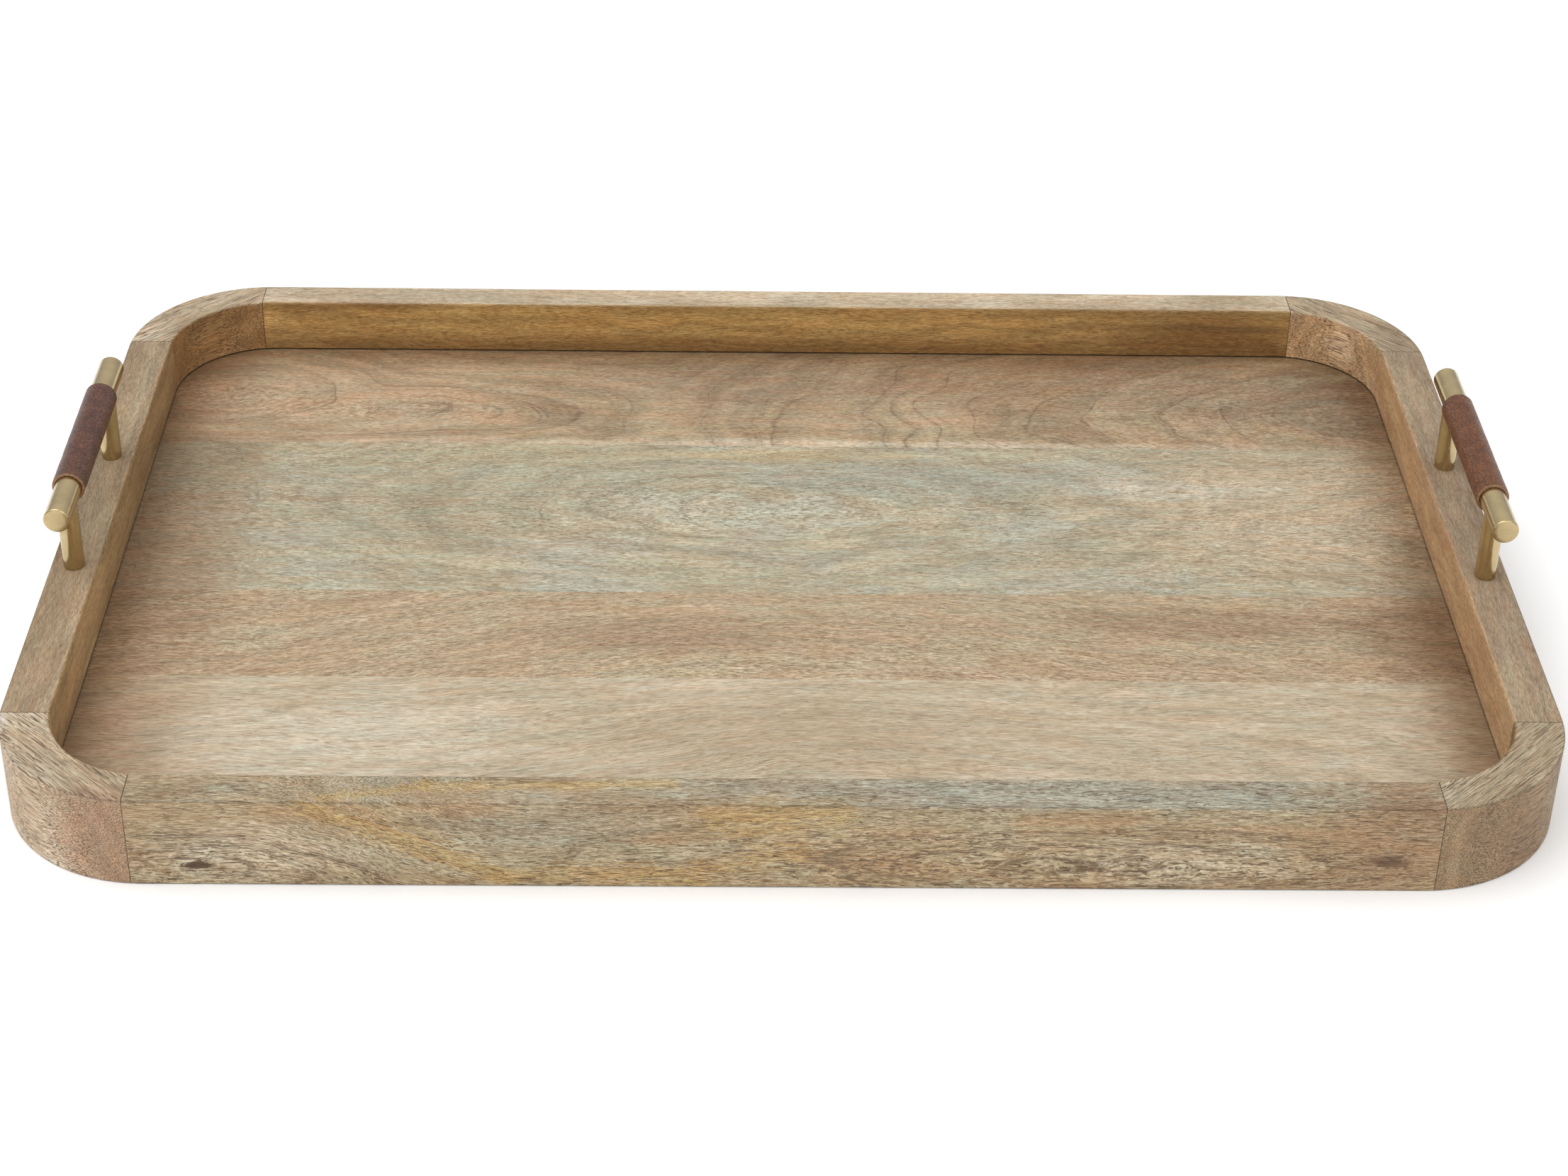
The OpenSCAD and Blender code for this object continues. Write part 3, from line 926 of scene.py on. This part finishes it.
def board_1_wood():
    return wood(
        "mango_board_1",
        ((0.42, 0.30, 0.19), (0.375, 0.285, 0.17), (0.32, 0.225, 0.133)),
        seed=1, wave=0.25, wiggle=1.3, ring_gap=8, bands=0.12, lines=0.5, pores=0.3, fleck=0.17,
        fleck_length=2.5, hue=0.06,
        eyes=(((-238, 133, 16), 43, 26, 16), ((-165, 121, 19), 70, 21, 0), ((290, 118, 20), 233, 90, 92)),
        marks=(
            (10, -215, -185), (22, -185, -80), (20.8, -140, -90), (13.5, -160, -110), (9.5, -150, -120),
            (26, -120, -40), (20, -30, 10), (6, 0, 60), (1.5, 20, 60), (-3, 30, 80), (-13, 60, 110),
            (-22, 80, 130), (-30, 100, 150), (-45, 150, 200), (-54, 160, 210), (-63, 190, 250),
            (-65, 200, 262),
        ),
        patches=floor_patches(
            (-175, 135, 90, 50, (0.43, 0.305, 0.19), 0.8),
            (-250, 145, 32, 40, WARM_BROWN, 0.8),
            (130, 152, 120, 34, WARM_BROWN, 0.7),
            (240, 132, 40, 40, (0.2, 0.135, 0.085), 0.75),
            (-40, 172, 200, 6, WARM_BROWN, 0.3),
            (-10, 146, 70, 28, (0.295, 0.208, 0.132), 0.8),
            (180, 138, 52, 26, (0.30, 0.21, 0.132), 0.8),
            (20, 93, 220, 5, CREAM, 0.65),
        ),
    )


def board_2_wood():
    return wood(
        "mango_board_2",
        (GREEN_BEIGE, GREY_BEIGE, PALE_GREY),
        seed=2, warp=8, wave=0.8, wiggle=1.6, bands=0.08, lines=0.35, fleck=0.185, hue=0.05,
        eyes=(((-5, 43, 30), 100, 38, 0), ((330, 30, 20), 150, 56, -20)),
        marks=((40, -125, -50), (31, -100, -25), (22, -75, 0), (13, -45, 20)),
        strokes=((WARM_BROWN, (-250, 49, FLOOR), (-128, 45, FLOOR), 3, 0.4),),
        patches=floor_patches(
            (-140, 84, 90, 14, OCHRE, 0.3),
            (0, 84, 60, 6, OCHRE, 0.3),
            (60, 64, 100, 18, BLUE_GREY, 0.55),
            (-110, 20, 60, 20, PINK_TAN, 0.2),
            (-120, 68, 110, 32, (0.36, 0.32, 0.22), 0.65),
            (-150, 30, 66, 24, (0.335, 0.295, 0.2), 0.7),
            (180, 84, 50, 12, (0.35, 0.305, 0.205), 0.65),
            (215, 40, 90, 60, WARM_CREAM, 0.7),
            (-246, 76, 36, 34, (0.27, 0.215, 0.135), 0.9),
            (-20, 38, 70, 18, (0.50, 0.465, 0.36), 0.35),
            (160, 58, 50, 9, (0.52, 0.47, 0.365), 0.6),
        ),
    )


def board_3_wood():
    return wood(
        "mango_board_3",
        ((0.435, 0.322, 0.21), (0.40, 0.29, 0.178), (0.42, 0.335, 0.215)),
        seed=3, bands=0.08, lines=0.25, pores=0.65, fleck=0.22,
        eyes=(((0, -134, 34), 200, 60, 0),),
        dips=((-240, -30, (-26, 0)), (0, 200, (12, 0))),
        patches=floor_patches(
            (-45, -52, 60, 14, WARM_BROWN, 0.5),
            (165, -42, 80, 14, WARM_BROWN, 0.6),
            (246, -50, 28, 34, (0.25, 0.16, 0.09), 0.8),
        ),
    )


def board_4_wood():
    return wood(
        "mango_board_4",
        ((0.52, 0.43, 0.31), (0.43, 0.34, 0.225), (0.45, 0.375, 0.26)),
        seed=4, wave=0.4, ring_gap=6, bands=0.06, lines=0.2, pores=0.45, fleck=0.14, fleck_length=6,
        eyes=(((10, -176, 32), 130, 40, 0),),
        dips=((-130, 30, (-18, 0)),),
        patches=floor_patches(
            (-156, -120, 66, 34, (0.55, 0.48, 0.365), 0.75),
            (0, -115, 85, 26, (0.38, 0.285, 0.18), 0.55),
        ),
    )


def front_rail_wood():
    return wood(
        "mango_front_rail",
        ((0.37, 0.287, 0.175), (0.335, 0.247, 0.15), (0.37, 0.322, 0.219)),
        seed=5, warp=2, wave=0.7, ring_gap=5, lines=0.6, pores=0.95, pore_length=8, pore_width=0.28,
        open_grain=0.02, fleck=0.21, side_tone=(1.1, 1.03, 0.95), in_rim=True,
        eyes=(((-204, FRONT - 4, 8), 80, 15, 0), ((115, FRONT + 5, 34), 110, 17, 0)),
        dips=((-190, -95, (7, 24)),),
        knots=(((-204, FRONT, 8.5), (5.5, 3, 1.8)),),
        marks=((9, -225, -130), (14, -225, -110), (16.5, -5, 190), (11, 35, 160), (5, 70, 125)),
        strokes=(
            (OCHRE, (-165, FRONT, 34), (-100, FRONT, 5), 5, 0.6),
            (OCHRE, (-100, FRONT, 4), (-30, FRONT, 6), 5, 0.55),
            (OCHRE, (-30, FRONT, 6), (5, FRONT, 17), 5, 0.45),
            (OCHRE, (-160, FRONT + 2, 36), (-125, FRONT + 10, 36), 3, 0.55),
            (OCHRE, (-125, FRONT + 10, 36), (-40, FRONT + 12, 36), 3, 0.5),
            (OCHRE, (-25, FRONT, 30), (20, FRONT, 32), 6, 0.5),
        ),
        patches=(
            (BLUE_GREY, (-80, FRONT, 26), (50, 30, 12), 0.6),
            ((0.36, 0.345, 0.27), (90, FRONT + 8, 37), (130, 14, 4), 0.85),
            ((0.33, 0.26, 0.17), (-10, FRONT + 12, 37), (40, 6, 4), 0.5),
            ((0.455, 0.395, 0.295), (-185, FRONT, 14), (48, 6, 15), 0.85),
            ((0.43, 0.375, 0.275), (140, FRONT, 12), (44, 6, 13), 0.75),
            (WARM_BROWN, (212, FRONT, 20), (30, 20, 24), 0.75),
            ((0.13, 0.075, 0.045), (210, FRONT, 13), (9, 4, 4), 0.8),
            (WARM_BROWN, (216, FRONT + 8, 37), (16, 14, 5), 0.7),
        ),
    )


def back_rail_wood():
    return wood(
        "mango_back_rail",
        (CREAM, (0.44, 0.35, 0.23), WARM_CREAM),
        seed=6, ring_gap=6, bands=0.16, lines=0.15, wall_tint=(0.82, 0.60, 0.31), in_rim=True,
        eyes=(((60, 200, 70), 300, 24, 0),),
        patches=(
            ((0.62, 0.50, 0.32), (-60, 174, 29), (200, 3, 10), 0.7),
            ((0.22, 0.145, 0.085), (190, 174, 22), (44, 6, 14), 0.75),
            ((0.26, 0.175, 0.10), (0, 174, 13), (280, 3, 9), 0.75),
            (WARM_BROWN, (-190, 174, 35), (50, 3, 3), 0.5),
            ((0.74, 0.62, 0.44), (-236, 174, 28), (26, 3, 8), 0.9),
            ((0.42, 0.335, 0.22), (-160, 184, 36), (26, 9, 3), 0.6),
            ((0.38, 0.295, 0.185), (204, 184, 36), (26, 9, 3), 0.75),
        ),
    )


def paint_side_rail(name, seed, tones, eye, wall_tint, patches=()):
    paint(rim_pieces[name], wood(
        f"mango_{name}", tones, turn=90, seed=seed, ring_gap=5, pores=0.35, fleck=0.14, eyes=(eye,),
        wall_tint=wall_tint, patches=patches, in_rim=True,
    ))


def paint_corner(name, turn, seed, tones, side_tone, wall_tint=WALL_TINT, patches=()):
    paint(rim_pieces[name], wood(
        f"mango_{name}", tones, turn=turn, seed=seed, warp=2, wave=0.4, ring_gap=4, pores=1.0,
        pore_length=16, pore_width=0.3, open_grain=0.045, fleck=0.14, fleck_length=9,
        eyes=(((0, 0, 60), 400, 20, 0),), side_tone=side_tone, wall_tint=wall_tint, patches=patches,
        in_rim=True,
    ))


def paint_floor():
    for board, board_wood in zip(floor_boards, (board_1_wood, board_2_wood, board_3_wood, board_4_wood)):
        paint(board, board_wood())


def paint_rim():
    paint(rim_pieces["front_rail"], front_rail_wood())
    paint(rim_pieces["back_rail"], back_rail_wood())
    paint_side_rail(
        "left_rail", 7, ((0.32, 0.23, 0.14), (0.265, 0.182, 0.108), (0.335, 0.25, 0.15)),
        ((-300, 20, 0), 200, 20, 0), (1.1, 0.95, 0.72),
        patches=(((0.46, 0.34, 0.22), (-262, -70, 24), (4, 60, 20), 0.7),),
    )
    paint_side_rail(
        "right_rail", 8, ((0.325, 0.235, 0.155), (0.27, 0.188, 0.118), (0.335, 0.25, 0.155)),
        ((310, -30, 0), 200, 20, 0), (1.6, 1.35, 1.1),
    )
    paint_corner(
        "front_left_corner", -45, 9, (WARM_CREAM, (0.40, 0.31, 0.20), CREAM), (1.17, 1.12, 1.1),
        patches=(
            ((0.35, 0.228, 0.141), (-234, FRONT, 18), (26, 14, 40), 0.9),
            ((0.56, 0.52, 0.46), (-281, -146, 18), (5, 26, 40), 0.7),
        ),
    )
    paint_corner(
        "front_right_corner", 45, 10, ((0.39, 0.31, 0.20), (0.33, 0.255, 0.16), (0.44, 0.36, 0.24)),
        (0.84, 0.72, 0.62), patches=(((0.27, 0.185, 0.115), (258, -180, 14), (28, 16, 24), 0.6),),
    )
    paint_corner(
        "back_left_corner", 45, 11, (WARM_CREAM, (0.37, 0.28, 0.175), CREAM), (0.9, 0.76, 0.62),
    )
    paint_corner(
        "back_right_corner", -45, 12, (WARM_CREAM, (0.35, 0.27, 0.175), TAN), (1.05, 0.88, 0.74),
        wall_tint=(1.35, 1.33, 1.3),
        patches=(
            ((0.30, 0.22, 0.14), (276, 145, 36), (14, 30, 20), 0.7),
            ((0.6, 0.51, 0.39), (249, 161, 24), (9, 9, 13), 0.7),
        ),
    )


def paint_handles():
    bar_brass = brass((0.55, 0.43, 0.235), 0.2)
    for piece in brass_pieces:
        paint(piece, bar_brass)
    left_sleeve, right_sleeve = sleeves
    paint(left_sleeve, leather("leather_left", (0.175, 0.066, 0.036), (0.115, 0.042, 0.025)))
    paint(right_sleeve, leather("leather_right", (0.24, 0.083, 0.026), (0.175, 0.057, 0.018)))


def paint_hidden_parts():
    """The studs, screws and dowels keep their CAD meshes."""
    plating = zinc()
    pegs = beech()
    for side in ("left", "right"):
        paint(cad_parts[f"{side}_post_studs"], plating)
        paint(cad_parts[f"{side}_handle_screws"], plating)
    for side in ("front", "back", "left", "right"):
        paint(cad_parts[f"{side}_dowels"], pegs)


paint_floor()
paint_rim()
paint_handles()
paint_hidden_parts()

# ---- Floor of the studio, light and camera ----


def studio():
    """A pale floor, soft light from above and in front, and a pale sky."""
    bm = bmesh.new()
    bmesh.ops.create_grid(bm, x_segments=1, y_segments=1, size=15)
    ground = mesh_object("studio_floor", bm)
    ground.location.z = -0.1 * MM
    tree = NodeTree("studio_floor")
    tree.surface((0.98, 0.98, 0.98, 1), roughness=0.9)
    paint(ground, tree.material)

    world = bpy.data.worlds.new("studio")
    bpy.context.scene.world = world
    world.use_nodes = True
    nodes, links = world.node_tree.nodes, world.node_tree.links
    split = nodes.new("ShaderNodeSeparateXYZ")
    rise = nodes.new("ShaderNodeMapRange")
    links.new(nodes.new("ShaderNodeTexCoord").outputs["Generated"], split.inputs[0])
    links.new(split.outputs["Z"], rise.inputs["Value"])
    for key, number in (("From Min", 0.0), ("From Max", 0.7), ("To Min", 0.45), ("To Max", 0.95)):
        rise.inputs[key].default_value = number
    nodes["Background"].inputs["Color"].default_value = (1, 1, 1, 1)
    links.new(rise.outputs[0], nodes["Background"].inputs["Strength"])

    for name, place, size, power in (
        ("key", (-0.8, -0.3, 1.9), 1.8, 20),
        ("front_fill", (0.6, -1.9, 1.0), 1.4, 8),
    ):
        lamp = bpy.data.lights.new(name, "AREA")
        lamp.shape = "SQUARE"
        lamp.size = size
        lamp.energy = power
        light = bpy.data.objects.new(name, lamp)
        light.location = place
        light.rotation_mode = "QUATERNION"
        light.rotation_quaternion = (-Vector(place)).to_track_quat("-Z", "Y")
        bpy.context.scene.collection.objects.link(light)


def camera():
    """A 70 mm lens that looks down at about 33 degrees, with a slight turn and tilt."""
    lens = bpy.data.cameras.new("camera")
    lens.lens = 69.94
    lens.sensor_width = 36
    pitch, yaw, roll = (math.radians(a) for a in (33.144, 1.117, 1.0255))
    view = bpy.data.objects.new("camera", lens)
    ahead = Vector((math.sin(yaw) * math.cos(pitch), math.cos(yaw) * math.cos(pitch), -math.sin(pitch)))
    level = Vector((math.cos(yaw), -math.sin(yaw), 0))
    upright = level.cross(ahead)
    right = math.cos(roll) * level + math.sin(roll) * upright
    up = -math.sin(roll) * level + math.cos(roll) * upright
    turn = Matrix((right, up, -ahead)).transposed()
    view.matrix_world = Matrix.Translation((-0.0184, -1.0248, 0.6704)) @ turn.to_4x4()
    bpy.context.scene.collection.objects.link(view)
    bpy.context.scene.camera = view


studio()
camera()
scene = bpy.context.scene
scene.view_settings.view_transform = "Standard"
scene.view_settings.look = "None"
